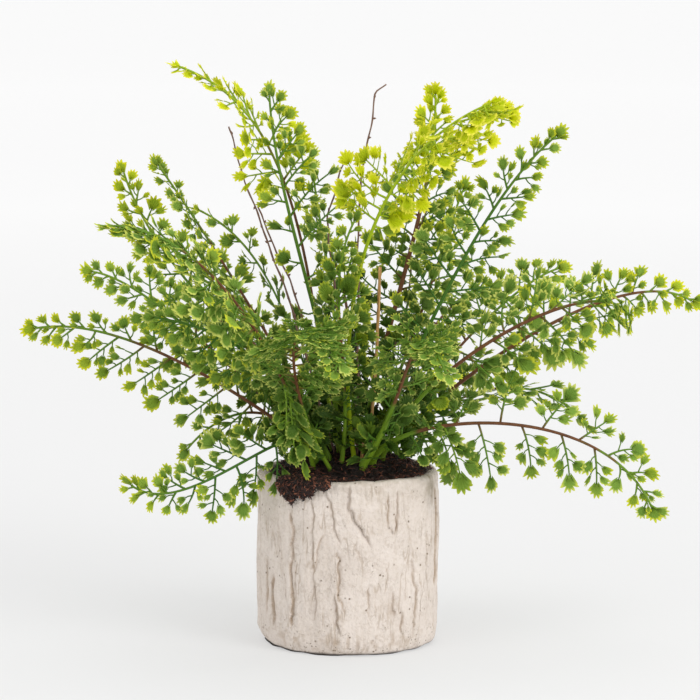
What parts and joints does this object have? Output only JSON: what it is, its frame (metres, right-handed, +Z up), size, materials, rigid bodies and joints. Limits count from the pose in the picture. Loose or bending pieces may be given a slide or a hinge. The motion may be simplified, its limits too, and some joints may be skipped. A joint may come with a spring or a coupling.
{
  "type": "artificial potted fern",
  "caption": "Maidenhair-type fern of arching fronds with small toothed leaflets, rooted in heaped bark in a round concrete pot cast like tree bark.",
  "frame": {"origin": "centre of the pot's flat underside", "axes": "+Z up the pot's axis, -Y towards the side with the bark spilled over the rim, +X to the right of it"},
  "size_m": [0.4561, 0.3315, 0.39],
  "materials": {
    "concrete": "matt cast concrete with a bark relief",
    "potting_bark": "loose fibrous bark, dull",
    "foliage": "soft satin, green with paler leaf edges",
    "twig": "dry bare twig",
    "straw": "dry pale stalk"
  },
  "bodies": {
    "root": {"pot": "concrete", "potting_bark": "potting_bark", "frond_01": "foliage", "frond_02": "foliage", "frond_03": "foliage", "frond_04": "foliage", "frond_05": "foliage", "frond_06": "foliage", "frond_07": "foliage", "frond_08": "foliage", "frond_09": "foliage", "frond_10": "foliage", "frond_11": "foliage", "frond_12": "foliage", "frond_13": "foliage", "frond_14": "foliage", "frond_15": "foliage", "frond_16": "foliage", "frond_17": "foliage", "frond_18": "foliage", "frond_19": "foliage", "frond_20": "foliage", "frond_21": "foliage", "frond_22": "foliage", "frond_23": "foliage", "frond_24": "foliage", "frond_25": "foliage", "frond_26": "foliage", "frond_27": "foliage", "frond_28": "foliage", "twig_1": "twig", "twig_2": "twig", "twig_3": "twig", "twig_4": "twig", "twig_5": "twig", "straw_1": "straw", "straw_2": "straw", "straw_3": "straw", "straw_4": "straw"}
  },
  "joints": []
}
